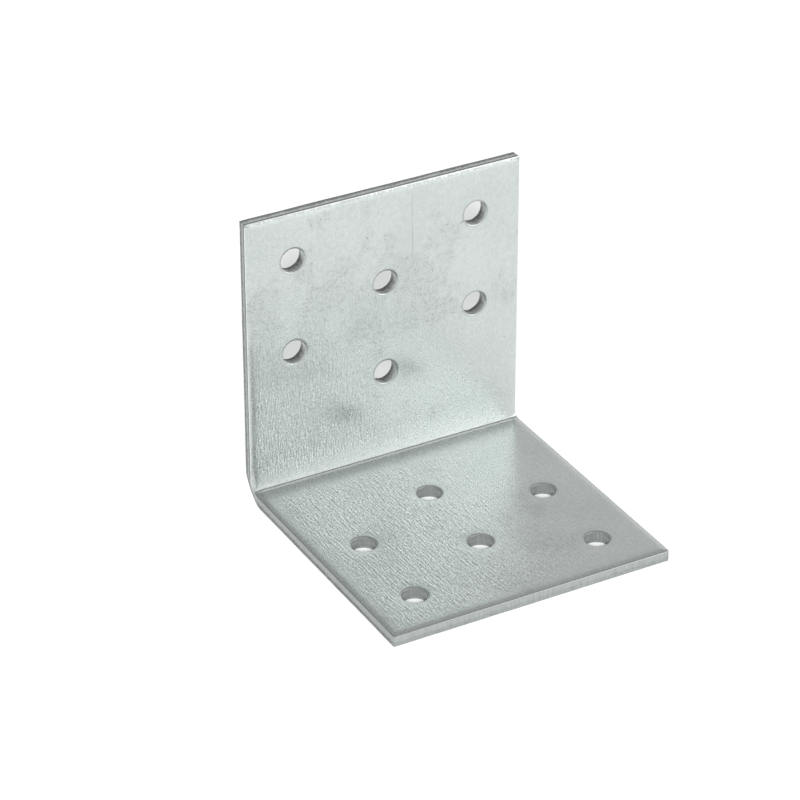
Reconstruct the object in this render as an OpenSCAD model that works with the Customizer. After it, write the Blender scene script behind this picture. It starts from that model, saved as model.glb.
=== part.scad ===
// Corner brace bracket: one strip of galvanised steel sheet, punched with round holes and
// folded once to a right angle. Millimetres.
// The strip's width runs along X. The base leg lies on Z = 0 and reaches forward, along -Y.
// The upright leg stands at the back, its outer face at the largest Y.
// Shear and punch came down on the inner faces of the fold. There every cut edge has a
// rolled shoulder, below it a smooth sheared band, and towards the outer face a torn band
// that sits back a little.

/* [Sheet] */
// Width of the strip
width = 60; // [50:1:90]
// Height of the upright leg, from the underside to its free tip
upright_len = 61; // [56:1:90]
// Reach of the base leg, from the upright's outer face to its free tip
base_len = 60; // [56:1:90]
// Thickness of the sheet
thickness = 2.5; // [2:0.1:3]

/* [Fold] */
// Radius of the fold on its inner side
fold_r_in = 1.8; // [1.4:0.1:2.4]
// Radius on its outer side: more than inner radius and thickness, as the sheet thins there
fold_r_out = 5.2; // [4.6:0.1:6]
// How far the inner side of the fold swells past each side edge
swell = 0.12; // [0.08:0.02:0.2]
// How far the outer side of the fold draws in from each side edge
neck = 0.35; // [0.2:0.05:0.5]

/* [Holes] */
// Diameter of every hole
hole_d = 5; // [4:0.1:6]
// From each side edge to the centres of the outer columns
side_margin = 10; // [8:0.5:12]
// From a free tip to the first hole of the outer columns
tip_margin = 10; // [8:0.5:12]
// From one hole to the next in a column
pitch = 20; // [16:0.5:22]
// How far the middle column starts behind the outer ones
stagger = 10; // [8:0.5:12]

/* [Cut edges] */
// Width of the rolled shoulder along the outline, on the inner faces
roll_w = 1.4; // [1.1:0.1:1.7]
// Depth of that shoulder
roll_d = 0.25; // [0.2:0.01:0.3]
// Width of the rolled rim round each hole, on the inner faces
rim_w = 0.45; // [0.36:0.01:0.54]
// Depth of that rim
rim_d = 0.12; // [0.1:0.01:0.14]
// Height of the torn band above the outer face
torn_h = 1.1; // [0.9:0.1:1.3]
// How far the torn band sits back at the outer face
torn_back = 0.12; // [0.08:0.01:0.2]

/* [Hidden] */
$fn = 96;
// How far a cutting shape runs past the surface that it cuts
over = 0.5;
side_x = width / 2;
back_y = base_len / 2;
tip_y = -base_len / 2;
hole_r = hole_d / 2;
// Axes of the fold's inner and outer arcs, as [Y, Z]
inner_axis = [back_y - thickness - fold_r_in, thickness + fold_r_in];
outer_axis = [back_y - fold_r_out, fold_r_out];
// The swelling fades out at this radius round the inner axis
swell_reach = fold_r_in + thickness / 4;
// From the sharp outer corner to the middle of the outer arc
outer_cut = fold_r_out * (sqrt(2) - 1);
// Centres of the holes on one leg, as [across the strip, distance from the free tip]
column_x = side_x - side_margin;
hole_places = concat(
    [for (x = [-column_x, column_x], row = [0, 1]) [x, tip_margin + row * pitch]],
    [for (row = [0, 1]) [0, tip_margin + stagger + row * pitch]]
);

// A ball that cuts a plane in a ring of radius outer and stands off it by rise on the ring
// of radius inner: its centre's distance from the plane, and its radius
function ball_offset(inner, outer, rise) = (outer ^ 2 - inner ^ 2 - rise ^ 2) / (2 * rise);
function ball_radius(inner, outer, rise) = norm([ball_offset(inner, outer, rise), outer]);

// Sections of what the cutting took away beside an edge: X = 0 is the sheared band, with the
// metal at negative X, and Y is the height above the outer face
module shoulder_section(w, d) {
    // An arc that starts flush with the inner face and falls by d over the width w
    arc_r = (w ^ 2 + d ^ 2) / (2 * d);
    difference() {
        translate([-w, thickness - d])
            square([w + over, d + over]);
        translate([-w, thickness - arc_r])
            circle(arc_r);
    }
}

module torn_section() {
    lean = torn_back / torn_h;
    polygon([
        [0, torn_h],
        [over, torn_h],
        [over, -over],
        [-torn_back - lean * over, -over]
    ]);
}

// Turns a side view, drawn with the part's Y and Z, to run across the strip
module across() {
    rotate([90, 0, 90])
        children();
}

// The two legs and the fold, seen from the side
module side_view() {
    difference() {
        union() {
            translate([tip_y, 0])
                square([base_len, thickness]);
            translate([back_y - thickness, 0])
                square([thickness, upright_len]);
            translate([inner_axis.x, thickness])
                square(fold_r_in);
        }
        translate(inner_axis)
            circle(fold_r_in);
        difference() {
            translate([outer_axis.x, -over])
                square(fold_r_out + over);
            translate(outer_axis)
                circle(fold_r_out);
        }
        translate([tip_y, 0])
            mirror([1, 0])
                tip_section();
        translate([back_y, upright_len])
            rotate(90)
                tip_section();
    }
}

module tip_section() {
    shoulder_section(roll_w, roll_d);
    torn_section();
}

// Carries a section along the side edge at half the strip's width: along the base leg, round
// a quarter turn about the given axis of the fold, and up the upright leg
module along_side(half, axis) {
    translate([half, axis.x, 0])
        rotate([90, 0, 0])
            linear_extrude(axis.x - tip_y + over)
                children();
    translate([0, axis.x, axis.y])
        across()
            rotate(-90)
                rotate_extrude(angle = 90)
                    translate([axis.y, half])
                        rotate(90)
                            children();
    translate([half, back_y, axis.y])
        mirror([0, 1, 0])
            linear_extrude(upright_len - axis.y + over)
                children();
}

// The folded sheet with its cut edges, before the ends of the fold change their width
module sheet() {
    difference() {
        across()
            linear_extrude(width, center = true)
                side_view();
        for (side = [0, 1])
            mirror([side, 0, 0]) {
                along_side(side_x, inner_axis)
                    shoulder_section(roll_w, roll_d);
                along_side(side_x, outer_axis)
                    torn_section();
            }
    }
}

// A shallow dish at one end of the fold, where the stretched outer side draws in
module neck_dish() {
    translate([side_x + ball_offset(outer_cut, fold_r_out, neck), back_y, 0])
        sphere(ball_radius(outer_cut, fold_r_out, neck));
}

// The metal that the fold pushes out sideways at one end of its inner side
module swelling() {
    difference() {
        intersection() {
            across()
                linear_extrude(width + 2 * swell, center = true)
                    side_view();
            translate([side_x - ball_offset(fold_r_in, swell_reach, swell), inner_axis.x, inner_axis.y])
                sphere(ball_radius(fold_r_in, swell_reach, swell));
            translate([side_x - roll_w, tip_y, 0])
                cube([roll_w + over, base_len, upright_len]);
        }
        along_side(side_x + swell, inner_axis)
            shoulder_section(roll_w, roll_d);
    }
}

// One punched hole, along Z, with the outer face at Z = 0 and the inner face above it
module hole_waste() {
    translate([0, 0, -over])
        cylinder(r = hole_r, h = thickness + 2 * over);
    rotate_extrude()
        translate([hole_r, 0])
            mirror([1, 0]) {
                shoulder_section(rim_w, rim_d);
                torn_section();
            }
}

module bracket() {
    color("silver")
        difference() {
            union() {
                difference() {
                    sheet();
                    for (side = [0, 1])
                        mirror([side, 0, 0])
                            neck_dish();
                }
                for (side = [0, 1])
                    mirror([side, 0, 0])
                        swelling();
            }
            for (place = hole_places) {
                translate([place.x, tip_y + place.y, 0])
                    hole_waste();
                translate([place.x, back_y, upright_len - place.y])
                    rotate([90, 0, 0])
                        hole_waste();
            }
        }
}

bracket();
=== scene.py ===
# %% [markdown]
# # A corner brace bracket of galvanised sheet steel
# The real thing is one strip of zinc-coated steel, punched with twelve round holes and folded
# once to a right angle. There is one piece to make, so the work goes into its cut edges, its
# fold and its zinc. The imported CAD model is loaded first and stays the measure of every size.

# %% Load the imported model
import math

import bpy
import numpy as np
from mathutils import Matrix, Vector


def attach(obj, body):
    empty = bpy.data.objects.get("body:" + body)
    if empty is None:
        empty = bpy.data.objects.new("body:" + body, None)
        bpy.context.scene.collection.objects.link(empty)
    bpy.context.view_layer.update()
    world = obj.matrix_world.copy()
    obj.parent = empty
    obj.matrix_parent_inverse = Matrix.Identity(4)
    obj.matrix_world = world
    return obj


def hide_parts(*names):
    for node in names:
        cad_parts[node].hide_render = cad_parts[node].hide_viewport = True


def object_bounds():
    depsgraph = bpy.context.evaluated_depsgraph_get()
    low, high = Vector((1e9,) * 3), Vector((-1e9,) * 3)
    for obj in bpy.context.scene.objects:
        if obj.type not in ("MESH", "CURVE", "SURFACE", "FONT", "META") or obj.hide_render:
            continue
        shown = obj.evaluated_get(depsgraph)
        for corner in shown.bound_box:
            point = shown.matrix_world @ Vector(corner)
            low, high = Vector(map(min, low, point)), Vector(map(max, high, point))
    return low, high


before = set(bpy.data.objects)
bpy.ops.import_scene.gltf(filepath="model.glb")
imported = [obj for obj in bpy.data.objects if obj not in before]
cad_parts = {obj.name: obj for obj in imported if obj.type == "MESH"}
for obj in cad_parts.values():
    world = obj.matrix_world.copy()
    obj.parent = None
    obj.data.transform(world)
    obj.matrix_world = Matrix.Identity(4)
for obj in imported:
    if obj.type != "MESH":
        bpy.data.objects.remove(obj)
cad_low, cad_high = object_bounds()
MM = 0.001
print("CAD box in mm:", [round(v / MM, 3) for v in (*cad_low, *cad_high)])

# %% [markdown]
# ## Sizes
# The legs, the fold and the holes are those of the CAD model, in millimetres. The frame gives
# the height and both ends of the base. The width is the flat strip's, because the CAD box also
# holds the swollen ends of the fold. The rest are the shop's sizes: sheet thickness, hole size
# and pitch. Everything below is worked out from these values.

# %% The bracket's sizes
UPRIGHT_HEIGHT = cad_high.z / MM
BACK = cad_high.y / MM
TIP = cad_low.y / MM
WIDTH = 60.0
SIDE = WIDTH / 2
SHEET = 2.5
FOLD_IN = 1.8
FOLD_OUT = 5.2
HOLE_R = 2.5
COLUMN = 20.0
PITCH = 20.0
MARGIN = 10.0
print("reach, height, width:", round(BACK - TIP, 2), round(UPRIGHT_HEIGHT, 2), WIDTH)

# %% [markdown]
# ## The edge of a sheared sheet
# Shears and punches leave the same edge everywhere. The blade first bends the face over in a
# shallow rolled shoulder, then cuts a smooth band, and at last the steel tears, which leaves a
# rough band that leans back. A bevel modifier gives one even chamfer, so the edge is written
# as a profile of two numbers instead: how far in from the side, and how far below the face.

# %% The profile of a rolled shoulder
def rolled_edge(width, depth, nose, roll_steps, nose_steps):
    """Inset and drop of a rolled shoulder and the small nose at its end.

    The shoulder is an arc that starts level with the face and falls by depth over width, so
    its radius is (width squared + depth squared) / (2 * depth). The nose is a smaller arc
    that touches the shoulder from inside and ends upright on the sheared band."""
    big = (width**2 + depth**2) / (2 * depth)
    meet = math.asin((width - nose) / (big - nose))
    nose_drop = big - math.sqrt((big - nose) ** 2 - (width - nose) ** 2)
    roll = np.linspace(0, meet, roll_steps + 1)
    turn = np.linspace(meet, math.pi / 2, nose_steps + 1)[1:]
    inset = np.concatenate([width - big * np.sin(roll), nose - nose * np.sin(turn)])
    drop = np.concatenate([big - big * np.cos(roll), nose_drop - nose * np.cos(turn)])
    return inset, drop


ROLL_W, ROLL_D, NOSE = 1.4, 0.25, 0.15
RIM_W, RIM_D, RIM_NOSE = 0.45, 0.12, 0.08
roll_inset, roll_drop = rolled_edge(ROLL_W, ROLL_D, NOSE, 5, 4)
rim_inset, rim_drop = rolled_edge(RIM_W, RIM_D, RIM_NOSE, 4, 3)
print("shoulder ends", round(float(roll_drop[-1]), 3), "mm below the face")

# %% The band below the nose, down to the outer face
TORN_H, TORN_BACK, TORN_STEPS = 1.1, 0.12, 6
TORN_TOP = SHEET - TORN_H
FOOT = 0.05
LAST_INSET = TORN_BACK + FOOT


def cut_band(top):
    """Inset and drop from the nose down: straight to the torn band, then leaning back by
    TORN_BACK at an even slope, and a small foot of 45 degrees on the outer face."""
    torn = np.linspace(0, 1, TORN_STEPS + 1)[1:]
    torn_drop = TORN_TOP + torn * (SHEET - FOOT - TORN_TOP)
    drop = np.concatenate([[(top + TORN_TOP) / 2, TORN_TOP], torn_drop, [SHEET]])
    inset = np.concatenate([[0.0, 0.0], torn * TORN_BACK, [LAST_INSET]])
    return inset, drop


side_band = cut_band(roll_drop[-1])
hole_band = cut_band(rim_drop[-1])
print("the torn band starts", round(TORN_TOP, 2), "mm below the inner face")

# %% [markdown]
# ## The strip, before and after folding
# A narrow punch pressed this fold, so its inner face has a sharp crease with a shallow valley
# on the base side and a long soft lean on the upright. It is easiest to draw on the flat
# strip: x runs across it, s along it from the base's tip to the upright's tip, and t goes from
# 0 on the inner face to 1 on the outer face. One function then folds any array of such points,
# so holes, edges and faces all bend together. A bend modifier would give one plain arc, with
# neither the crease nor the valley.

# %% Lengths along the strip
INNER_AXIS = np.array([BACK - SHEET - FOLD_IN, SHEET + FOLD_IN])
OUTER_AXIS = np.array([BACK - FOLD_OUT, FOLD_OUT])
BEND_START = INNER_AXIS[0] - TIP
BEND_END = BEND_START + FOLD_IN * math.pi / 2
STRIP = BEND_END + UPRIGHT_HEIGHT - INNER_AXIS[1]
EASE = 6.0
print("strip length", round(STRIP, 2), "mm")
print("bend from", round(BEND_START, 2), "to", round(BEND_END, 2), "mm")

# %% How the inner face turns
TIGHT = 0.3
UP_WIDE, UP_SLOW = 5.6, 0.133
BASE_WIDE, BASE_SLOW = 5.0, 0.02


def turning(u):
    """Angle of the inner line at the distance u from the crease. The punch's nose presses
    nearly all of the quarter turn into TIGHT on both sides of it. The share UP_SLOW is spread
    evenly over UP_WIDE on the upright, and BASE_SLOW over BASE_WIDE on the base, where the
    sheet bowed away from the punch."""
    tight = np.clip(u / (2 * TIGHT) + 0.5, 0, 1)
    above = np.clip(u / UP_WIDE, 0, 1)
    below = np.clip(u / BASE_WIDE + 1, 0, 1)
    sharp = (1 - UP_SLOW - BASE_SLOW) * tight**2 * (3 - 2 * tight)
    return math.pi / 2 * (sharp + UP_SLOW * above + BASE_SLOW * below)


def running_sum(values, step):
    """Sums of the mean of neighbouring values times the step, from 0: the integral."""
    return np.concatenate([[0], np.cumsum((values[1:] + values[:-1]) / 2 * step)])


REACH = EASE + FOLD_IN
u_fine = np.linspace(-REACH, REACH, 6001)
y_fine = running_sum(np.cos(turning(u_fine)), u_fine[1] - u_fine[0])
z_fine = running_sum(np.sin(turning(u_fine)), u_fine[1] - u_fine[0])
s_ends = [BEND_START - EASE, BEND_END + EASE]
u_ends = [y_fine[-1] - 2 * REACH, 2 * REACH - z_fine[-1]]
CREASE = float(np.interp(0, u_ends, s_ends))
print("the crease lies", round(CREASE, 2), "mm along the strip")

# %% The lines of the fold, seen from the side
def inner_line(s):
    """Y and Z of the inner face: near the fold, the running sums of the cosine and the sine
    of turning(), cut off where each leg reaches its own plane. Further out it is straight."""
    u = np.interp(s, s_ends, u_ends)
    y = BACK - SHEET - REACH + np.interp(u, u_fine, y_fine) - (u_ends[0] + REACH)
    z = SHEET + np.interp(u, u_fine, z_fine)
    return y + np.minimum(s - s_ends[0], 0), z + np.maximum(s - s_ends[1], 0)


def arc_angle(s):
    """How far a plain bend has turned at s: evenly from BEND_START, up to a quarter turn."""
    return np.clip((s - BEND_START) / FOLD_IN, 0, math.pi / 2)


def round_line(s):
    """Y and Z of the inner face at the two ends of the fold, where nothing held the sheet
    under the punch and it kept a plain arc of radius FOLD_IN."""
    y = INNER_AXIS[0] + FOLD_IN * np.sin(arc_angle(s)) + np.minimum(s - BEND_START, 0)
    z = INNER_AXIS[1] - FOLD_IN * np.cos(arc_angle(s)) + np.maximum(s - BEND_END, 0)
    return y, z


def outer_line(s):
    """Y and Z of the outer face: straight on the base, a quarter arc of radius FOLD_OUT, and
    straight up the upright. The straight parts ease over to meet the wider arc."""
    shift = INNER_AXIS[0] - OUTER_AXIS[0]
    before = np.clip((s - BEND_START + EASE) / EASE, 0, 1)
    after = np.clip((BEND_END + EASE - s) / EASE, 0, 1)
    y = OUTER_AXIS[0] + FOLD_OUT * np.sin(arc_angle(s)) + np.minimum(s - BEND_START, 0)
    z = OUTER_AXIS[1] - FOLD_OUT * np.cos(arc_angle(s)) + np.maximum(s - BEND_END, 0)
    return y + shift * (1 - before), z - shift * (1 - after)


ends = np.array([0, STRIP])
print("inner face ends at Y, Z in mm:", *(np.round(part, 2).tolist() for part in inner_line(ends)))

# %% Fold the strip
SWELL, NECK, FADE = 0.075, 0.35, 3.0
CORNER_R = 0.35


def ball_cap(distance, inner, outer, rise):
    """Height of a ball over a plane that it cuts in a ring of radius outer, where it stands
    off by rise on the ring of radius inner: the root of (ball radius squared - distance
    squared), less the centre's depth."""
    depth = (outer**2 - inner**2 - rise**2) / (2 * rise)
    return np.sqrt(np.maximum(outer**2 + depth**2 - distance**2, depth**2)) - depth


def fold(points):
    """Millimetres in space of an array of (x, s, t): a blend of inner and outer line by t.

    Within ROLL_W of the side edges the inner line goes over to round_line(). Within FADE of
    them the fold's inner side swells out by SWELL and its outer side draws in by NECK, each
    as a ball cap."""
    x, s, t = points[:, 0], points[:, 1], points[:, 2]
    inset = SIDE - np.abs(x)
    end = np.clip(1 - inset / ROLL_W, 0, 1) ** 2
    (y_in, z_in), (y_end, z_end), (y_out, z_out) = inner_line(s), round_line(s), outer_line(s)
    y_in, z_in = y_in + end * (y_end - y_in), z_in + end * (z_end - z_in)
    y, z = y_in + t * (y_out - y_in), z_in + t * (z_out - z_in)
    near = np.clip(1 - inset / FADE, 0, 1) ** 2
    from_inner = np.hypot(y - INNER_AXIS[0], z - INNER_AXIS[1])
    swell = ball_cap(from_inner, FOLD_IN, FOLD_IN + SHEET / 4, SWELL)
    neck = ball_cap(np.hypot(y - BACK, z), FOLD_OUT * (math.sqrt(2) - 1), FOLD_OUT, NECK)
    return np.stack([x + np.sign(x) * near * (swell - neck), y, z], 1)


def ease_corners(points):
    """Rounds the strip's four corners in plan. Inside a square of side CORNER_R at a corner,
    with u and v from 0 to 1 towards the two edges, u becomes u * root(1 - v squared / 2) and
    v the same with u, which bends the square's outer sides into a quarter circle."""
    x, s = points[:, 0], points[:, 1]
    u = np.clip(1 - (SIDE - np.abs(x)) / CORNER_R, 0, 1)
    v = np.clip(1 - np.minimum(s, STRIP - s) / CORNER_R, 0, 1)
    both = (u > 0) & (v > 0)
    new_x = np.sign(x) * (SIDE - CORNER_R * (1 - u * np.sqrt(1 - v**2 / 2)))
    from_tip = CORNER_R * (1 - v * np.sqrt(1 - u**2 / 2))
    new_s = np.where(s < STRIP / 2, from_tip, STRIP - from_tip)
    out = points.copy()
    out[:, 0] = np.where(both, new_x, x)
    out[:, 1] = np.where(both, new_s, s)
    return out


side_ends = fold(np.array([[SIDE, CREASE, 0], [SIDE, CREASE, 1]]))
print("end of the fold in mm, inner and outer:", np.round(side_ends, 2).tolist())

# %% [markdown]
# ## A net of lines with windows for the holes
# The punch left twelve clean round holes in the real strip. A plain grid can't hold a round
# hole neatly, and a Boolean would leave ragged faces round it. So the strip gets a net of
# lines, some of its rectangles are left open as windows, and each window is filled with rings
# that change from its rectangle to the hole's circle. Both share the window's points, so no
# seam shows.

# %% Lines across and along the strip
def spaced(marks, step):
    """Lines through all marks, with each gap divided evenly into pieces of about step."""
    parts = []
    for a, b in zip(marks[:-1], marks[1:]):
        pieces = max(1, round((b - a) / step))
        parts.append(np.linspace(a, b, pieces + 1)[:-1])
    return np.concatenate([*parts, marks[-1:]])


def with_shoulders(inner, low, high):
    """The given lines with the shoulder's own lines before and after them, from the edge at
    low to the edge at high, and how far the face drops at each line."""
    places = np.concatenate([roll_inset[::-1][:-1] + low, inner, high - roll_inset[1:]])
    drops = np.concatenate([roll_drop[::-1][:-1], 0 * inner, roll_drop[1:]])
    return places, drops


STEP = 0.5
HALF_GAP = COLUMN - PITCH / 2
rows = [ROLL_W, MARGIN, MARGIN + PITCH / 2, MARGIN + PITCH, 2 * PITCH, 2 * PITCH + MARGIN]
near_tip = spaced(rows, STEP)
x_inner = spaced([ROLL_W - SIDE, -HALF_GAP, HALF_GAP, SIDE - ROLL_W], STEP)
# Between the holes' rows, lines crowd where the fold turns: one per STEP and one per TURN
TURN = math.radians(5)
s_fine = np.linspace(near_tip[-1], STRIP - near_tip[-1], 4001)
crowd = (s_fine - s_fine[0]) / STEP + turning(s_fine - CREASE) / TURN
bend = np.interp(np.linspace(0, crowd[-1], round(crowd[-1]) + 1), crowd, s_fine)
s_inner = np.concatenate([near_tip, bend[1:-1], STRIP - near_tip[::-1]])
x_lines, x_drop = with_shoulders(x_inner, -SIDE, SIDE)
s_lines, s_drop = with_shoulders(s_inner, 0, STRIP)
print("net:", len(x_lines), "lines across,", len(s_lines), "along")

# %% Windows and holes
def windows():
    """Each hole's centre on the strip and its window, as (x, s, x from, x to, s from, s to)."""
    found = []
    for side in (-1, 1):
        for row in range(2):
            q = MARGIN + row * PITCH
            x_range = sorted([side * HALF_GAP, side * (SIDE - ROLL_W)])
            s_range = max(ROLL_W, q - PITCH / 2), q + PITCH / 2
            found.append((side * COLUMN, q, *x_range, *s_range))
    for row in range(2):
        q = 2 * MARGIN + row * PITCH
        found.append((0.0, q, -HALF_GAP, HALF_GAP, q - PITCH / 2, q + PITCH / 2))
    top = [(x, STRIP - q, a, b, STRIP - d, STRIP - c) for x, q, a, b, c, d in found]
    return found + top


def at(lines, value):
    """Index of the line nearest to a value."""
    return int(np.argmin(np.abs(lines - value)))


hole_windows = windows()
print(len(hole_windows), "holes")

# %% Grids of four-sided faces
def quads(rows, cols, closed=False):
    """Corner numbers of every cell of a grid of rows by cols points, row after row. A closed
    grid also joins its last column to its first."""
    cells = np.arange(rows - 1), np.arange(cols if closed else cols - 1)
    i, j = np.meshgrid(*cells, indexing="ij")
    k = (j + 1) % cols
    around = [i * cols + j, i * cols + k, (i + 1) * cols + k, (i + 1) * cols + j]
    return np.stack(around, -1).reshape(-1, 4)


def outer_place(value, low_end, high_end, back=LAST_INSET):
    """The same line further down the cut edge, where the outline sits back: the shoulder's
    lines share the rest of their width, (ROLL_W - back), evenly."""
    inset = np.minimum(value - low_end, high_end - value)
    moved = np.where(inset < ROLL_W, back + inset * (ROLL_W - back) / ROLL_W, inset)
    return np.where(value - low_end < high_end - value, low_end + moved, high_end - moved)


def face_net(t):
    """The net on one face, without its windows. On the inner face a point drops by the deeper
    of the two shoulders that cross there."""
    x, s = np.meshgrid(x_lines, s_lines)
    drop = np.maximum(*np.meshgrid(x_drop, s_drop)) / SHEET
    if t == 1:
        x, s, drop = outer_place(x, -SIDE, SIDE), outer_place(s, 0, STRIP), np.ones_like(x)
    open_cell = np.zeros((len(s_lines) - 1, len(x_lines) - 1), bool)
    for _, _, xa, xb, sa, sb in hole_windows:
        open_cell[at(s_lines, sa):at(s_lines, sb), at(x_lines, xa):at(x_lines, xb)] = True
    cells = quads(len(s_lines), len(x_lines))[~open_cell.ravel()]
    points = np.stack([x.ravel(), s.ravel(), drop.ravel()], 1)
    return points, cells if t == 0 else cells[:, ::-1]


inner_net, outer_net = face_net(0), face_net(1)
print("faces of the net on each side:", len(inner_net[1]))

# %% The torn band's unevenness
TORN_ROUGH = 0.035
WAVES = 40
# Phases are drawn from a little over a full turn
PHASE_RANGE = 6.3


def rectangle(xs, ss):
    """Points round a rectangle of the net, anticlockwise from its lowest corner."""
    long_side, high_side = len(xs) - 1, len(ss) - 1
    x = [xs[:-1], np.full(high_side, xs[-1]), xs[:0:-1], np.full(high_side, xs[0])]
    s = [np.full(long_side, ss[0]), ss[:-1], np.full(long_side, ss[-1]), ss[:0:-1]]
    return np.concatenate(x), np.concatenate(s)


def wander(count, random):
    """A smooth closed random curve of about unit height: a sum of sines of whole wave numbers
    with random phases, each weaker as its number grows."""
    turn = np.linspace(0, 2 * math.pi, count, endpoint=False)
    number = np.arange(1, WAVES + 1)[:, None]
    phase = random.uniform(0, PHASE_RANGE, (WAVES, 1))
    curve = (np.sin(number * turn + phase) / np.sqrt(number)).sum(0)
    return curve / math.sqrt(math.log(WAVES) + 1)


def torn_noise(band, count, random):
    """In and out of a cut band's torn part, in millimetres: a random curve for each of its
    rings, and nothing on the two rings above it and on its foot."""
    levels = len(band[0]) - 3
    rings = np.stack([wander(count, random) for _ in range(levels)]) * TORN_ROUGH
    return np.concatenate([np.zeros((2, count)), rings, np.zeros((1, count))])


print("a torn edge wanders by about", TORN_ROUGH, "mm in", WAVES, "waves")

# %% Rings from a window to its hole and out to the other face
PLANE_STEPS = np.array([1.0, 0.78, 0.58, 0.4, 0.25, 0.12, 0.04])
BACK_STEPS = np.array([0.05, 0.2, 0.5, 1.0])


def hole_rings(window, random):
    """All rings of one hole as (x, s, t). A ray runs from the centre to each point of the
    window. On the flat parts a ring's radius is the hole's plus a share of what is left."""
    hx, hs, xa, xb, sa, sb = window
    xs = x_lines[at(x_lines, xa):at(x_lines, xb) + 1]
    ss = s_lines[at(s_lines, sa):at(s_lines, sb) + 1]
    x, s = rectangle(xs, ss)
    angle, far = np.arctan2(s - hs, x - hx), np.hypot(x - hx, s - hs)
    start, end = HOLE_R + RIM_W, HOLE_R + LAST_INSET
    band_inset = hole_band[0][:, None]
    noise = torn_noise(hole_band, len(x), random)
    radius = np.concatenate([
        start + PLANE_STEPS[:, None] * (far - start),
        HOLE_R + np.repeat(rim_inset[:, None], len(x), 1),
        HOLE_R + band_inset + np.maximum(noise, -band_inset),
        end + BACK_STEPS[:, None] * (far - end)])
    drop = np.concatenate([0 * PLANE_STEPS, rim_drop, hole_band[1], 0 * BACK_STEPS + SHEET])
    t = np.repeat(drop[:, None] / SHEET, len(x), 1)
    points = np.stack([hx + radius * np.cos(angle), hs + radius * np.sin(angle), t], -1)
    for ring in (0, -1):
        points[ring, :, 0], points[ring, :, 1] = x, s
    return points.reshape(-1, 3), quads(len(drop), len(x), True), len(x)


rings = len(PLANE_STEPS) + len(rim_drop) + len(hole_band[0]) + len(BACK_STEPS)
print("rings round each hole:", rings)

# %% The outline's cut band
def outline_band(random):
    """Rings round the strip's outline from the nose to the outer face. Each ring is the
    outline moved inwards by the band's inset, with the torn part's noise added."""
    x, s = rectangle(x_lines, s_lines)
    on_side = np.isclose(np.abs(x), SIDE)
    inset = np.concatenate([[0.0], side_band[0]])[:, None]
    drop = np.concatenate([[roll_drop[-1]], side_band[1]])
    from_corner = np.where(on_side, np.minimum(s, STRIP - s), SIDE - np.abs(x))
    noise = torn_noise(side_band, len(x), random) * np.clip(from_corner / ROLL_W, 0, 1)
    inset = np.maximum(inset + np.concatenate([np.zeros((1, len(x))), noise]), 0)
    new_x, new_s = outer_place(x, -SIDE, SIDE, inset), outer_place(s, 0, STRIP, inset)
    t = np.repeat(drop[:, None] / SHEET, len(x), 1)
    return np.stack([new_x, new_s, t], -1).reshape(-1, 3), quads(len(drop), len(x), True)


print("length of the outline:", round(2 * (WIDTH + STRIP), 1), "mm")

# %% Put the patches together
ZINC, CUT = 0, 1
SEED = 7
random = np.random.default_rng(SEED)
patches = [(*inner_net, ZINC), (*outer_net, ZINC)]
rim_rows = len(PLANE_STEPS) + len(rim_drop) - 1
band_rows = rim_rows + len(hole_band[0])
for window in hole_windows:
    points, cells, around = hole_rings(window, random)
    row = np.arange(len(cells)) // around
    patches.append((points, cells, np.where((row >= rim_rows) & (row < band_rows), CUT, ZINC)))
points, cells = outline_band(random)
patches.append((points, cells[:, ::-1], CUT))
print(len(patches), "patches")

# %% Join points that lie at the same place
# Two points are the same when they agree to a thousandth of a millimetre
SAME_DECIMALS = 3
all_points = np.concatenate([p for p, _, _ in patches])
starts = np.cumsum([0] + [len(p) for p, _, _ in patches])
all_cells = np.concatenate([c + n for (_, c, _), n in zip(patches, starts)])
all_slots = np.concatenate([np.broadcast_to(m, len(c)) for _, c, m in patches])
rounded = np.round(all_points, SAME_DECIMALS)
_, first, same = np.unique(rounded, axis=0, return_index=True, return_inverse=True)
used, cells = np.unique(same.ravel()[all_cells], return_inverse=True)
strip_points, cells = all_points[first][used], cells.reshape(-1, 4)
edges = np.sort(np.stack([cells, np.roll(cells, -1, 1)], -1).reshape(-1, 2), 1)
_, uses = np.unique(edges, axis=0, return_counts=True)
print(len(strip_points), "points,", len(cells), "faces")
print("edges not shared by two faces:", int((uses != 2).sum()))

# %% Make the mesh
space = fold(ease_corners(strip_points))
mesh = bpy.data.meshes.new("bracket_sheet")
mesh.from_pydata((space * MM).tolist(), [], cells.tolist())
mesh.polygons.foreach_set("use_smooth", np.ones(len(cells), bool))
bracket = bpy.data.objects.new("bracket_sheet", mesh)
bpy.context.scene.collection.objects.link(bracket)
corner = space[cells]
normal = np.cross(corner[:, 2] - corner[:, 0], corner[:, 3] - corner[:, 1]) / 2
volume = float((normal * corner.mean(1)).sum() / 3)
print("volume", round(volume, 1), "mm3, triangles", 2 * len(cells))

# %% What the materials read from the mesh
def store(name, values, kind="FLOAT_VECTOR"):
    """Stores one value per point in a named attribute."""
    data = mesh.attributes.new(name, kind, "POINT").data
    field = "vector" if kind == "FLOAT_VECTOR" else "value"
    data.foreach_set(field, np.ascontiguousarray(values, np.float32).ravel())


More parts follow.
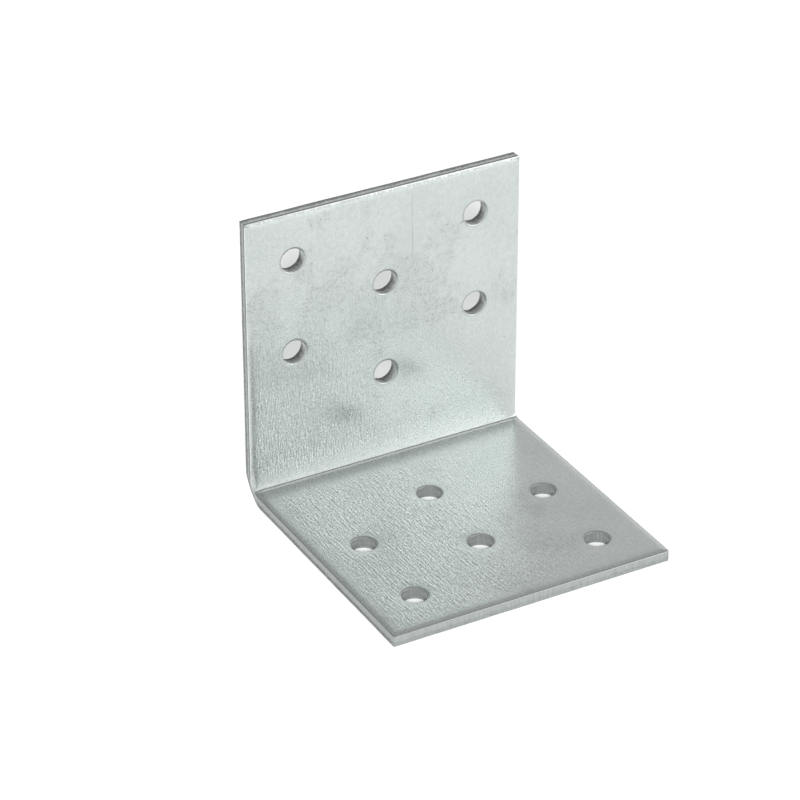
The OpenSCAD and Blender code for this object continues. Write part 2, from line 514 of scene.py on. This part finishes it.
# from_outline is the distance to the strip's outline, and from_edge the distance to the
# outline or a hole's wall, whichever is nearer. hole_side is how far along the strip a point
# lies from the middle of its nearest hole, in radii: -1 is the foot of the upright's holes.
FAR = 5.0
x, s = strip_points[:, 0], strip_points[:, 1]
centres = np.array([window[:2] for window in hole_windows])
to_centre = np.hypot(x[:, None] - centres[:, 0], s[:, None] - centres[:, 1])
from_outline = np.minimum(SIDE - np.abs(x), np.minimum(s, STRIP - s))
from_edge = np.minimum(from_outline, to_centre.min(1) - HOLE_R)
store("strip", strip_points * [1, 1, SHEET])
store("from_edge", np.clip(from_edge, 0, FAR), "FLOAT")
store("from_outline", np.clip(from_outline, 0, FAR), "FLOAT")
store("hole_side", (s - centres[to_centre.argmin(1), 1]) / HOLE_R, "FLOAT")
print("attributes:", ", ".join(a.name for a in mesh.attributes if not a.is_internal))

# %% [markdown]
# ## Galvanised zinc
# The zinc on such sheet is rolled and lightly brushed along the strip. Seen close, it is not
# one finish: fine bright grains lie beside dull ones, short rolling lines run along the strip,
# and the coating has small dark pits. An image would fix one resolution, so all of it is built
# from noise on the strip's own millimetres, which lets the lines follow the bend.

# %% Small helpers for building a material
class Shader:
    """The nodes of a material or of the world. Each method adds one node, or a few, and
    returns the output to use next. The inputs of the node that takes the results are last."""

    def __init__(self, owner, last):
        owner.use_nodes = True
        self.nodes, self.links = owner.node_tree.nodes, owner.node_tree.links
        self.last = self.nodes[last].inputs

    def put(self, socket, value):
        """Links an output to a socket, or sets the socket if the value is plain."""
        if isinstance(value, bpy.types.NodeSocket):
            self.links.new(value, socket)
        else:
            socket.default_value = value

    def part(self, vector, axis):
        """One of a vector's three numbers."""
        node = self.nodes.new("ShaderNodeSeparateXYZ")
        self.put(node.inputs[0], vector)
        return node.outputs[axis]

    def attribute(self, name, output="Fac"):
        """A value that the mesh stores, as one number or as a vector."""
        node = self.nodes.new("ShaderNodeAttribute")
        node.attribute_name = name
        return node.outputs[output]

    def math(self, operation, *values, clamp=False):
        """Arithmetic on numbers."""
        node = self.nodes.new("ShaderNodeMath")
        node.operation, node.use_clamp = operation, clamp
        for socket, value in zip(node.inputs, values):
            self.put(socket, value)
        return node.outputs[0]

    def times(self, first, *others):
        """The product of all values."""
        for value in others:
            first = self.math("MULTIPLY", first, value)
        return first

    def most(self, first, *others):
        """The greatest of all values."""
        for value in others:
            first = self.math("MAXIMUM", first, value)
        return first

    def vector(self, operation, *values, output=0):
        """Arithmetic on vectors."""
        node = self.nodes.new("ShaderNodeVectorMath")
        node.operation = operation
        for socket, value in zip(node.inputs, values):
            self.put(socket, value)
        return node.outputs[output]

    def noise(self, place, per_mm, detail=2.0, roughness=0.5, dimensions="2D"):
        """Cloudy noise with its own number of features per millimetre along each axis."""
        node = self.nodes.new("ShaderNodeTexNoise")
        node.noise_dimensions = dimensions
        self.put(node.inputs["Vector"], self.vector("MULTIPLY", place, per_mm))
        for socket, value in (("Scale", 1.0), ("Detail", detail), ("Roughness", roughness)):
            node.inputs[socket].default_value = value
        return node.outputs["Fac"]

    def spread(self, value, low, high, to_low=0.0, to_high=1.0, kind="LINEAR"):
        """Maps low..high to to_low..to_high and stops at both ends."""
        node = self.nodes.new("ShaderNodeMapRange")
        node.interpolation_type = kind
        for socket, item in zip(node.inputs, (value, low, high, to_low, to_high)):
            self.put(socket, item)
        return node.outputs[0]

    def near(self, value, middle, inner, outer, at_middle=1.0, beyond=0.0, kind="LINEAR"):
        """at_middle where value is within inner of middle, changing to beyond at outer."""
        gap = self.math("ABSOLUTE", self.math("SUBTRACT", value, middle))
        return self.spread(gap, inner, outer, at_middle, beyond, kind)

    def mix(self, share, a, b):
        """A colour between a and b."""
        node = self.nodes.new("ShaderNodeMix")
        node.data_type = "RGBA"
        for name, value in (("Factor_Float", share), ("A_Color", a), ("B_Color", b)):
            socket = next(i for i in node.inputs if i.identifier == name)
            self.put(socket, value)
        return next(o for o in node.outputs if o.identifier == "Result_Color")

    def tones(self, value, stops):
        """Grey tones at positions from 0 to 1, with even changes between them."""
        node = self.nodes.new("ShaderNodeValToRGB")
        elements = node.color_ramp.elements
        elements[0].position, elements[1].position = stops[0][0], stops[-1][0]
        for position, _ in stops[1:-1]:
            elements.new(position)
        for element, (_, tone) in zip(elements, stops):
            element.color = (tone, tone, tone, 1)
        self.put(node.inputs["Fac"], value)
        return node.outputs["Color"]

    def scratch(self, place, start, end, width):
        """A fine line from start to end: 1 on the line, fading to 0 at half its width. The
        nearest point of the line is start plus the way along it, held between its ends."""
        start, end = Vector(start), Vector(end)
        flat = self.vector("MULTIPLY", place, (1, 1, 0))
        away = self.vector("SUBTRACT", flat, start)
        way = (end - start) / (end - start).length_squared
        along_line = self.vector("DOT_PRODUCT", away, way, output="Value")
        line = self.nodes.new("ShaderNodeVectorMath")
        line.operation = "SCALE"
        line.inputs[0].default_value = end - start
        self.put(line.inputs["Scale"], self.math("ADD", along_line, 0, clamp=True))
        gap = self.vector("SUBTRACT", away, line.outputs[0])
        gap = self.vector("LENGTH", gap, output="Value")
        return self.spread(gap, 0.2 * width, 0.5 * width, 1, 0)

    def bump(self, height, microns, after=None):
        """Turns a height from 0 to 1 into a relief of that many microns."""
        node = self.nodes.new("ShaderNodeBump")
        node.inputs["Strength"].default_value = 1.0
        node.inputs["Distance"].default_value = microns * 1e-6
        self.put(node.inputs["Height"], height)
        if after is not None:
            self.put(node.inputs["Normal"], after)
        return node.outputs["Normal"]

# %% Zinc on the two faces
BARE_ZINC_AND_SHINE, ZINC_LIGHT = (0.95, 0.97, 0.96, 1), (0.56, 0.592, 0.583, 1)
ZINC_DULL, PIT_AND_SHADE_TONE = (0.51, 0.545, 0.535, 1), (0.22, 0.23, 0.22, 1)
SHINY, MATT = 0.13, 0.38
# Features per millimetre, across and along the strip
LINES, GRAIN, FINE = (2.3, 0.4, 0), (5.0, 2.4, 0), (4.2, 1.6, 0)
MOTTLE, CLOUD = (1.1, 0.8, 0), (0.09, 0.07, 0)
zinc_material = bpy.data.materials.new("zinc_face")
zinc = Shader(zinc_material, "Principled BSDF")
zinc.put(zinc.last["Metallic"], 1.0)
strip = zinc.attribute("strip", "Vector")
across, along, below_face = (zinc.part(strip, axis) for axis in "XYZ")
to_edge, to_outline = zinc.attribute("from_edge"), zinc.attribute("from_outline")
on_upright = zinc.spread(along, CREASE - 2, CREASE)
inner_face = zinc.spread(below_face, 0.6, 1.2, 1, 0)
lines = zinc.noise(strip, LINES, detail=1, roughness=0.6)
grain = zinc.noise(strip, GRAIN, detail=2, roughness=0.6)
fine = zinc.noise(strip, FINE, detail=1)
mottle = zinc.noise(strip, MOTTLE, detail=3, roughness=0.6)
cloud = zinc.noise(strip, CLOUD, detail=2, roughness=0.5)
dull_share = zinc.spread(zinc.math("ADD", mottle, zinc.times(cloud, 0.6)), 0.6, 1.0)
zinc_colour = zinc.mix(dull_share, ZINC_LIGHT, ZINC_DULL)
zinc.put(zinc.last["Roughness"], zinc.spread(grain, 0.38, 0.62, SHINY, MATT))
print("zinc roughness from", SHINY, "to", MATT)

# %% Where the zinc is worn
# Two places: a belt across the upright, weaker to the right, and a round patch on the base.
# Each has its middle, and how far from there the wear is full and where it ends.
PATCHY = (0.16, 0.12, 0)
WORN_BELT, BELT_HALF = STRIP - 24, (6, 15)
WORN_PATCH, PATCH_R = (13, 21, 0), (5, 16)
LESS_FROM, LEAST_FROM = 10, 20
patchy = zinc.noise(strip, PATCHY, detail=2, roughness=0.6)
belt = zinc.near(along, WORN_BELT, *BELT_HALF, 0.15, -0.08)
less_right = zinc.spread(across, LESS_FROM, LEAST_FROM, 0, 0.2)
flat = zinc.vector("MULTIPLY", strip, (1, 1, 0))
to_patch = zinc.vector("DISTANCE", flat, WORN_PATCH, output="Value")
wear = zinc.math("SUBTRACT", zinc.math("ADD", patchy, belt), less_right)
wear = zinc.math("ADD", wear, zinc.spread(to_patch, *PATCH_R, 0.26, 0))
worn = zinc.spread(wear, 0.5, 0.62)
print("worn places on the strip:", round(WORN_BELT, 1), "mm along, and round", WORN_PATCH[:2])

# %% Pits, etched lines and scuffs
PITS_PER_MM, PIT_STRETCH = 1.8, (1.0, 0.8, 0)
ETCHED, SCUFFS, GLINTS = (1.5, 1.3, 0), (2.4, 0.7, 0), (1.3, 1.3, 0)
pit_cells = zinc.nodes.new("ShaderNodeTexVoronoi")
pit_cells.voronoi_dimensions = "2D"
pit_cells.inputs["Scale"].default_value = PITS_PER_MM
pit_cells.inputs["Randomness"].default_value = 1.0
zinc.put(pit_cells.inputs["Vector"], zinc.vector("MULTIPLY", strip, PIT_STRETCH))
pit_pick = zinc.nodes.new("ShaderNodeSeparateColor")
zinc.put(pit_pick.inputs[0], pit_cells.outputs["Color"])
pit_size = zinc.times(zinc.spread(pit_pick.outputs[0], 0.6, 1.0, 0.0, 0.42), worn)
ragged = zinc.times(zinc.math("SUBTRACT", grain, 0.5), 0.25)
pit_edge = zinc.math("ADD", pit_cells.outputs["Distance"], ragged)
pits = zinc.spread(zinc.math("SUBTRACT", pit_size, pit_edge), 0.0, 0.1, kind="SMOOTHSTEP")
etched = zinc.near(zinc.noise(strip, ETCHED, detail=2), 0.5, 0.008, 0.028)
etched = zinc.times(etched, zinc.spread(mottle, 0.48, 0.56), worn)
scuffs = zinc.spread(zinc.noise(strip, SCUFFS, detail=1), 0.66, 0.72)
scuffs = zinc.times(scuffs, worn)
marks = [(pits, 0.3), (etched, 0.5), (worn, 0.09), (scuffs, 0.25)]
print("up to", PITS_PER_MM, "pits per mm where the zinc is worn")

# %% The crease's painted shade and the painted highlight line below it
CREASE_AT, CREASE_W, CREASE_WANDER = CREASE - 0.02, 0.3, 0.25
HIGHLIGHT_BELOW = 0.52
wander_way = zinc.math("SUBTRACT", zinc.noise(strip, (0.5, 0, 0), detail=3), 0.5)
wavy = zinc.math("ADD", along, zinc.times(wander_way, CREASE_WANDER))
to_crease = zinc.math("SUBTRACT", wavy, CREASE_AT)
pressed = zinc.times(inner_face, zinc.spread(to_outline, 0.4, ROLL_W + 0.2))
# Painted shade in the crease, and a painted highlight line just below it, both on the inner face
# away from the sides
crease = zinc.near(to_crease, 0, 0.4 * CREASE_W, CREASE_W, kind="SMOOTHSTEP")
highlight = zinc.times(zinc.near(to_crease, -HIGHLIGHT_BELOW, 0.2, 0.4), pressed)
marks.append((zinc.times(crease, pressed), 0.5))
print("crease at", round(CREASE_AT, 2), "mm, rubbed line", HIGHLIGHT_BELOW, "mm below it")

# %% Scratches
# Each has its start and end as (x, distance from the upright's tip), its width and its share
SCRATCHES = [
    ((5.9, 1.5), (6.1, 22.0), 0.26, 0.3),
    ((6.0, 9.0), (6.05, 13.5), 0.3, 0.35),
    ((16.7, 11.3), (17.6, 10.9), 0.35, 0.8),
    ((4.5, 16.1), (5.0, 15.7), 0.4, 0.6),
    ((-16.1, 17.7), (-16.0, 19.8), 0.3, 0.35),
    ((-16.2, 11.5), (-15.8, 11.7), 0.4, 0.4),
    ((12.7, 43.5), (12.9, 43.6), 0.5, 0.35),
    ((26.9, 39.5), (27.1, 39.6), 0.4, 0.35),
    ((17.4, 17.4), (17.6, 17.3), 0.4, 0.4),
    ((-15.2, 112.4), (-13.9, 113.2), 0.35, 0.5)]
for (x0, from_tip), (x1, to_tip), width, share in SCRATCHES:
    mark = zinc.scratch(strip, (x0, STRIP - from_tip, 0), (x1, STRIP - to_tip, 0), width)
    marks.append((zinc.times(mark, inner_face), share))
print(len(SCRATCHES), "scratches")

# %% Shoulders, noses and rims
# The upright's nose has a painted highlight, broken by painted glints, and every edge and hole a
# fainter painted highlight. The base's outline is darker in a thin band, and so is a ring round
# each hole. Just below the upright's tip lies a thin line of painted shade, lighter at the glints.
# Each band begins and ends at these distances from the outline, an edge or the tip.
NOSE_SHINE_BAND, EDGE_SHINE_BAND = (0.03, 0.12), (0.04, 0.16)
OUTLINE_DARK_BAND, RIM_BAND = (0.15, 0.45), (0.25, 0.55)
SHADE_STARTS, SHADE_ENDS = (0.08, 0.18), (0.45, 0.7)
# Painted glints: noise breaks the painted highlight on the upright's nose
glints = zinc.spread(zinc.noise(strip, GLINTS, detail=3), 0.5, 0.62)
glints = zinc.most(glints, zinc.spread(along, STRIP - 2.0, STRIP - 1.0, 1, 0))
nose = zinc.times(zinc.spread(to_outline, *NOSE_SHINE_BAND, 0.5, 0), on_upright, glints)
painted_shine = zinc.most(nose, zinc.spread(to_edge, *EDGE_SHINE_BAND, 0.2, 0), highlight)
# Darker in a thin band along the base's outline
on_base = zinc.math("SUBTRACT", 1.0, on_upright)
outline_dark = zinc.times(zinc.spread(to_outline, *OUTLINE_DARK_BAND, 0.6, 0), on_base)
# Painted shade in a thin line just below the upright's tip, lighter where the painted glints are
below_tip = zinc.math("SUBTRACT", STRIP, along)
tip_shade = zinc.spread(below_tip, *SHADE_STARTS)
tip_shade = zinc.times(tip_shade, zinc.spread(below_tip, *SHADE_ENDS, 0.6, 0))
tip_shade = zinc.times(tip_shade, zinc.spread(glints, 0, 1, 1, 0.5))
off_outline = zinc.spread(to_outline, 1.5, 2.0)
rims = zinc.times(zinc.spread(to_edge, *RIM_BAND, 0.45, 0), off_outline)
marks += [(outline_dark, 1), (tip_shade, 1), (rims, 1)]
print(len(marks), "dark marks in all")

# %% Where the grain is strong
# Each row holds a value, the range it changes over, and the grain's share at both ends of it.
# The grain fades towards edges and holes, up the upright, to the right, and at the fold.
rightwards = zinc.math("ADD", across, zinc.spread(along, CREASE - 5, CREASE + 5, 0, 13))
GRAIN_SHARES = [
    (to_edge, 0.3, 2.0, 0.1, 1),
    (along, CREASE, STRIP - 20, 1, 0.15),
    (along, CREASE - 10, CREASE + 5, 0.72, 0.66),
    (rightwards, -4, 18, 1, 0.22)]
base_rim = zinc.most(on_upright, zinc.spread(to_outline, 1.2, 4.5, 0.2, 1))
off_fold = zinc.most(
    zinc.spread(along, CREASE - 6.5, CREASE - 3.8, 1, 0.12),
    zinc.spread(along, CREASE + 2.0, CREASE + 4.0, 0.12, 1))
strong = zinc.times(base_rim, off_fold, *(zinc.spread(*row) for row in GRAIN_SHARES))
bright_grains = zinc.times(zinc.spread(fine, 0.5, 0.66, 0, 0.6), strong)
dull_grains = zinc.times(zinc.spread(fine, 0.34, 0.5, 0.4, 0), strong)
print("lowest grain share in each row:", [min(row[3:]) for row in GRAIN_SHARES])

# %% Colour and relief of the zinc
LINES_DEEP, GRAIN_DEEP, PITS_DEEP = 130.0, 30.0, 30.0
# Bare zinc's colour goes to the real bright grains and to the painted highlights. The dark marks,
# real pits, wear and scratches as well as painted shade in the crease and under the tip, go
# towards the pits' tone.
zinc_colour = zinc.mix(painted_shine, zinc_colour, BARE_ZINC_AND_SHINE)
zinc_colour = zinc.mix(bright_grains, zinc_colour, BARE_ZINC_AND_SHINE)
dark = zinc.most(dull_grains, *(zinc.times(mark, share) for mark, share in marks))
zinc.put(zinc.last["Base Color"], zinc.mix(dark, zinc_colour, PIT_AND_SHADE_TONE))
relief = zinc.bump(zinc.times(lines, strong), LINES_DEEP)
relief = zinc.bump(zinc.times(grain, strong), GRAIN_DEEP, relief)
relief = zinc.bump(zinc.math("SUBTRACT", 1.0, pits), PITS_DEEP, relief)
zinc.put(zinc.last["Normal"], relief)
mesh.materials.append(zinc_material)
print(len(zinc.nodes), "nodes in the zinc")

# %% [markdown]
# ## The cut edge
# The sheared band is bare bright steel with zinc smeared over it and fine lines through the
# thickness. Below it the torn band is coarse and dull, and the border between them wanders.
# Both are one material that changes at that border, because a border between two materials
# would follow the mesh's straight rings.

# %% Sheared and torn steel
SHEARED_DULL, SHEARED_BRIGHT = (0.25, 0.27, 0.265, 1), (0.38, 0.40, 0.395, 1)
TORN_DARK, TORN_PALE = (0.07, 0.075, 0.075, 1), (0.23, 0.24, 0.24, 1)
STREAKS, CRAGS, BORDER = (5.0, 5.0, 0.35), (3.5, 3.5, 3.0), (0.7, 0.7, 0)
BORDER_WANDER = 1.1
cut_material = bpy.data.materials.new("cut_edge")
cut = Shader(cut_material, "Principled BSDF")
cut.put(cut.last["Metallic"], 0.4)
place = cut.attribute("strip", "Vector")
across, along, below_face = (cut.part(place, axis) for axis in "XYZ")
streaks = cut.noise(place, STREAKS, detail=3, roughness=0.6, dimensions="3D")
crags = cut.noise(place, CRAGS, detail=5, roughness=0.7, dimensions="3D")
border = cut.noise(place, BORDER, detail=4, roughness=0.65)
border = cut.times(cut.math("SUBTRACT", border, 0.5), BORDER_WANDER)
depth = cut.math("ADD", below_face, border)
torn = cut.spread(depth, TORN_TOP - 0.03, TORN_TOP + 0.05, kind="SMOOTHSTEP")
sheared_colour = cut.mix(cut.spread(streaks, 0.35, 0.65), SHEARED_DULL, SHEARED_BRIGHT)
torn_colour = cut.mix(cut.spread(crags, 0.4, 0.6), TORN_DARK, TORN_PALE)
print("the torn band starts", round(TORN_TOP, 2), "mm down and wanders")

# %% Which part of the cut edge is where
# The base's tip was cut cleanly, and so were the holes, but for the lower walls of those in
# the upright. The sides and the walls of the base's holes are duller.
tip_clean = cut.spread(along, 0.3, 1.5, 0.8, 0)
tip_face = cut.spread(along, 0.1, 0.4, 0.27, 0)
on_side = cut.spread(cut.math("ABSOLUTE", across), SIDE - 1, SIDE - 0.3, 0, 0.4)
on_upright = cut.spread(along, CREASE - 2, CREASE)
in_hole = cut.spread(cut.attribute("from_outline"), 1, ROLL_W)
base_hole = cut.times(in_hole, cut.math("SUBTRACT", 1.0, on_upright))
low_wall = cut.spread(cut.attribute("hole_side"), -0.4, 0.3, 1, 0)
low_wall = cut.times(low_wall, in_hole, on_upright)
clean = cut.most(tip_clean, cut.times(in_hole, cut.spread(low_wall, 0, 1, 0.8, 0)))
dull = cut.most(on_side, cut.times(base_hole, 0.35), tip_face)
# Painted shade: the sheared band along the upright's outline is darker just under the nose
under_nose_shade = cut.spread(cut.math("ADD", below_face, in_hole), 0.5, 0.9, 0.9, 0)
under_nose_shade = cut.times(under_nose_shade, on_upright)
# Painted shade: the lower walls of the upright's holes darken towards the outer face, streaked by
# noise
low_wall_shade = cut.times(
    low_wall, cut.spread(depth, 0.2, 0.8, 0, 0.85), cut.spread(streaks, 0.4, 0.6, 0.5, 1))
print(len(cut.nodes), "nodes in the cut edge so far")

# %% Colour and relief of the cut edge
OLD_STEEL, NOSE_SHADE = (0.12, 0.13, 0.13, 1), (0.06, 0.06, 0.06, 1)
# Tones of the painted shade on the lower hole walls, for the sheared and the torn band
SHEARED_WALL_SHADE, TORN_WALL_SHADE = (0.05, 0.055, 0.055, 1), (0.03, 0.03, 0.03, 1)
STREAKS_DEEP, CRAGS_DEEP = 6.0, 90.0
sheared_colour = cut.mix(dull, sheared_colour, OLD_STEEL)
torn_colour = cut.mix(clean, torn_colour, sheared_colour)
sheared_colour = cut.mix(under_nose_shade, sheared_colour, NOSE_SHADE)
sheared_colour = cut.mix(low_wall_shade, sheared_colour, SHEARED_WALL_SHADE)
torn_colour = cut.mix(low_wall_shade, torn_colour, TORN_WALL_SHADE)
cut.put(cut.last["Base Color"], cut.mix(torn, sheared_colour, torn_colour))
cut.put(cut.last["Roughness"], cut.spread(torn, 0.0, 1.0, 0.28, 0.5))
scored = cut.bump(streaks, STREAKS_DEEP)
cut.put(cut.last["Normal"], cut.bump(cut.times(crags, torn), CRAGS_DEEP, scored))
mesh.materials.append(cut_material)
mesh.polygons.foreach_set("material_index", all_slots.astype(np.int32))
print(int((all_slots == CUT).sum()), "of", len(all_slots), "faces are cut steel")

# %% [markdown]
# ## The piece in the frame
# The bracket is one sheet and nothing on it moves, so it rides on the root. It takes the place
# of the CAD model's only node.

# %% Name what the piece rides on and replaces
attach(bracket, "root")
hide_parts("bracket")
print(bracket.name, "replaces the bracket node")

# %% [markdown]
# ## The paper under the bracket
# The bracket stands on plain white paper that fills the picture. A large flat sheet just below
# the base takes the bracket's shadow. It is no part of the bracket, so it is only staged. Its
# paint is a little darker than white, because the lamps bring it up to white, and paper that
# glowed by itself would lose the shadow.

# %% The floor
PAPER_HALF, PAPER_DOWN = 3.0, 2e-5
FLOOR_PAINT = (0.845, 0.86, 0.853, 1)
floor_mesh = bpy.data.meshes.new("floor")
square = [(-1, -1), (1, -1), (1, 1), (-1, 1)]
paper_corners = [(PAPER_HALF * a, PAPER_HALF * b, -PAPER_DOWN) for a, b in square]
floor_mesh.from_pydata(paper_corners, [], [(0, 1, 2, 3)])
floor = bpy.data.objects.new("floor", floor_mesh)
bpy.context.scene.collection.objects.link(floor)
paper_material = bpy.data.materials.new("floor_paper")
paper = Shader(paper_material, "Material Output")
paper.nodes.remove(paper.nodes["Principled BSDF"])
paint = paper.nodes.new("ShaderNodeBsdfDiffuse")
paint.inputs["Color"].default_value = FLOOR_PAINT
paper.put(paper.last["Surface"], paint.outputs[0])
floor_mesh.materials.append(paper_material)
print("paper of", 2 * PAPER_HALF, "m,", PAPER_DOWN / MM, "mm below the base")

# %% [markdown]
# ## The room
# Metal shows mostly what it mirrors, so the room round it matters more than the lamps. A room
# of one grey would make both legs flat. This one is lightest low down and darker overhead, and
# darkest high up behind the bracket, where the right part of the base mirrors it.

# %% The world's tones
# Sine of a direction's angle above level, and the tone there. Below level it is that of 0.
TONES = [(0.0, 0.95), (0.4, 0.95), (0.508, 0.86), (0.62, 0.8), (0.75, 0.8), (1.0, 0.8)]
SHADE_BEHIND = 0.38
world = bpy.data.worlds.new("studio")
bpy.context.scene.world = world
room = Shader(world, "Background")
direction = room.nodes.new("ShaderNodeTexCoord").outputs["Generated"]
height = room.part(direction, "Z")
room.put(room.last["Color"], room.tones(height, TONES))
behind = room.spread(room.part(direction, "Y"), 0.0, 0.3)
shade = room.times(behind, room.spread(height, 0.43, 0.75))
room.put(room.last["Strength"], room.math("MULTIPLY_ADD", shade, -SHADE_BEHIND, 1.0))
print(len(TONES), "tones from level to overhead,", SHADE_BEHIND, "less high up behind")

# %% [markdown]
# ## Lamps
# A product picture like this is lit with soft boxes. The large right one is what the middle
# and the right of both legs mirror, and past its left end they fall off to a cooler grey. A
# small low one makes the bright band above the crease. Neither lights the paper, so both show
# only where the zinc mirrors them. The far one stands at the camera's side, lights the whole
# set and shows in no mirror.

# %% Soft boxes
AIM = Vector((0, 0, 0.03))
# Name, azimuth, elevation, distance, width, height, radiance
LAMPS = [
    ("right_box", 49.7, 20.5, 0.40, 0.37, 0.29, 1.74),
    ("low_left_box", 15.8, 7, 0.40, 0.10, 0.09, 1.5),
    ("camera_side_box", -28.9, 30.5, 3.0, 0.4, 0.4, 236)]


def toward(azimuth, elevation):
    """Unit vector in that direction, in degrees. Azimuth 0 is straight in front of the
    bracket and grows to the right."""
    a, e = math.radians(azimuth), math.radians(elevation)
    return Vector((math.sin(a) * math.cos(e), -math.cos(a) * math.cos(e), math.sin(e)))


def soft_box(name, azimuth, elevation, distance, width, height, radiance):
    """A flat lamp that faces the bracket's middle. Its power is radiance * pi * area, so that
    its face shows that radiance."""
    lamp = bpy.data.lights.new(name, "AREA")
    lamp.shape, lamp.size, lamp.size_y = "RECTANGLE", width, height
    lamp.energy = radiance * math.pi * width * height
    holder = bpy.data.objects.new(name, lamp)
    away = toward(azimuth, elevation)
    holder.location = AIM + away * distance
    holder.rotation_mode = "QUATERNION"
    holder.rotation_quaternion = (-away).to_track_quat("-Z", "Y")
    bpy.context.scene.collection.objects.link(holder)
    return holder


right_box, low_box, fill = (soft_box(*row) for row in LAMPS)
right_box.visible_diffuse = low_box.visible_diffuse = False
fill.visible_glossy = False
print("lamp powers in W:", [round(lamp.data.energy, 2) for lamp in (right_box, low_box, fill)])

# %% [markdown]
# ## Camera
# The camera stands to the left of the bracket and above it, and looks down on both legs. Its
# lens is long, so lines that are parallel on the bracket stay nearly parallel in the picture.
# Its place and lens come from matching the corners of the bracket's outline.

# %% The camera
AZIMUTH, ELEVATION, ROLL = -28.946, 30.541, -0.078
CAMERA_AT = Vector((-284.873, -493.354, 364.841)) * MM
LENS, SENSOR = 157.07, 36
camera = bpy.data.objects.new("camera", bpy.data.cameras.new("camera"))
bpy.context.scene.collection.objects.link(camera)
camera.location = CAMERA_AT
camera.rotation_mode = "QUATERNION"
looking = (-toward(AZIMUTH, ELEVATION)).to_track_quat("-Z", "Y")
tilted = Matrix.Rotation(math.radians(ROLL), 3, "Z").to_quaternion()
camera.rotation_quaternion = looking @ tilted
camera.data.lens, camera.data.sensor_width = LENS, SENSOR
bpy.context.scene.camera = camera
bpy.context.scene.view_settings.view_transform = "Standard"
print("the camera is", round(CAMERA_AT.length, 3), "m from the middle of the base")
